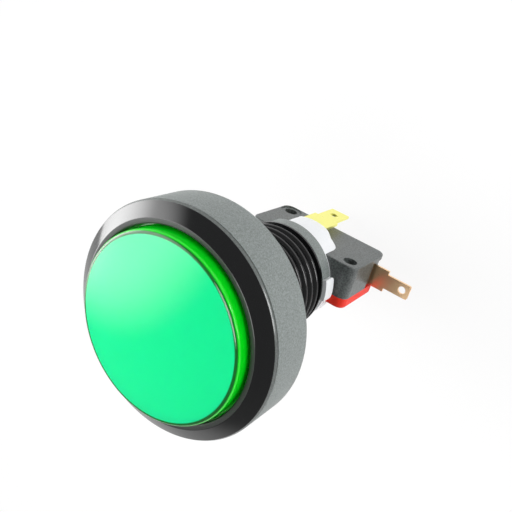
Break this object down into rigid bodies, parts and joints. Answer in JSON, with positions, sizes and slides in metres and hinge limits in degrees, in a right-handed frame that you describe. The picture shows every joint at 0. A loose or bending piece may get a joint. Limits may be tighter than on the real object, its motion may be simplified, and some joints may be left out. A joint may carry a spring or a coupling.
{
  "type": "illuminated push button",
  "caption": "Round illuminated push button with a domed green lens, black flanged head, threaded neck, white twist-in lamp holder and a micro switch with solder tabs.",
  "frame": {"origin": "on the button's axis in the plane of the flange seat that rests on the panel", "axes": "+Z along the button's axis towards the lens, +X along the micro switch towards its end terminal, +Y across the switch from its red cover to its black case"},
  "size_m": [0.0475, 0.045, 0.0663],
  "materials": {
    "housing_black": "fine grained moulded black",
    "bezel_black": "glossy moulded black",
    "lens_green": "clear green tinted, polished",
    "diffuser_white": "milky white",
    "plunger_white": "natural white",
    "spring_steel": "drawn wire",
    "holder_white": "satin white",
    "tab_brass": "stamped strip, bright",
    "lamp_plastic": "natural white",
    "lead_wire": "tinned wire",
    "led_epoxy": "water clear",
    "case_black": "satin moulded black",
    "cover_red": "semi-gloss moulded red",
    "pin_white": "natural white",
    "blade_bronze": "rolled spring strip",
    "contact_silver": "bright",
    "terminal_brass": "stamped strip, bright"
  },
  "bodies": {
    "base": {"housing": "housing_black", "front_bezel": "bezel_black", "lamp_holder": "holder_white", "lamp_terminal_upper": "tab_brass", "lamp_terminal_lower": "tab_brass", "lamp_base": "lamp_plastic", "lamp_leads": "lead_wire", "lamp_led": "led_epoxy", "switch_case": "case_black", "switch_cover": "cover_red", "end_terminal": "terminal_brass", "common_terminal": "terminal_brass", "fixed_contact": "contact_silver", "return_spring": "spring_steel"},
    "button": {"lens_cap": "lens_green", "diffuser": "diffuser_white", "plunger": "plunger_white"},
    "pin": {"switch_pin": "pin_white"},
    "blade": {"switch_blade": "blade_bronze", "moving_contact": "contact_silver"}
  },
  "joints": [
    {"name": "button_press", "type": "slide", "parent": "base", "child": "button", "axis": [0, 0, -1], "range_m": [0, 0.0022], "stiffness_N_per_m": 250, "springref_m": -0.006, "deforming": ["return_spring"]},
    {"name": "pin_press", "type": "slide", "parent": "base", "child": "pin", "axis": [0, 0, -1], "range_m": [0, 0.0011]},
    {"name": "blade_swing", "type": "hinge", "parent": "base", "child": "blade", "pos_m": [-0.00899, 0.00356, -0.03793], "axis": [0, 1, 0], "range_deg": [0, 4.05]}
  ],
  "couplings": [
    {"joint": "pin_press", "follows": "button_press", "ratio": 0.5},
    {"joint": "blade_swing", "follows": "button_press", "rad_per_m": 32.07}
  ]
}
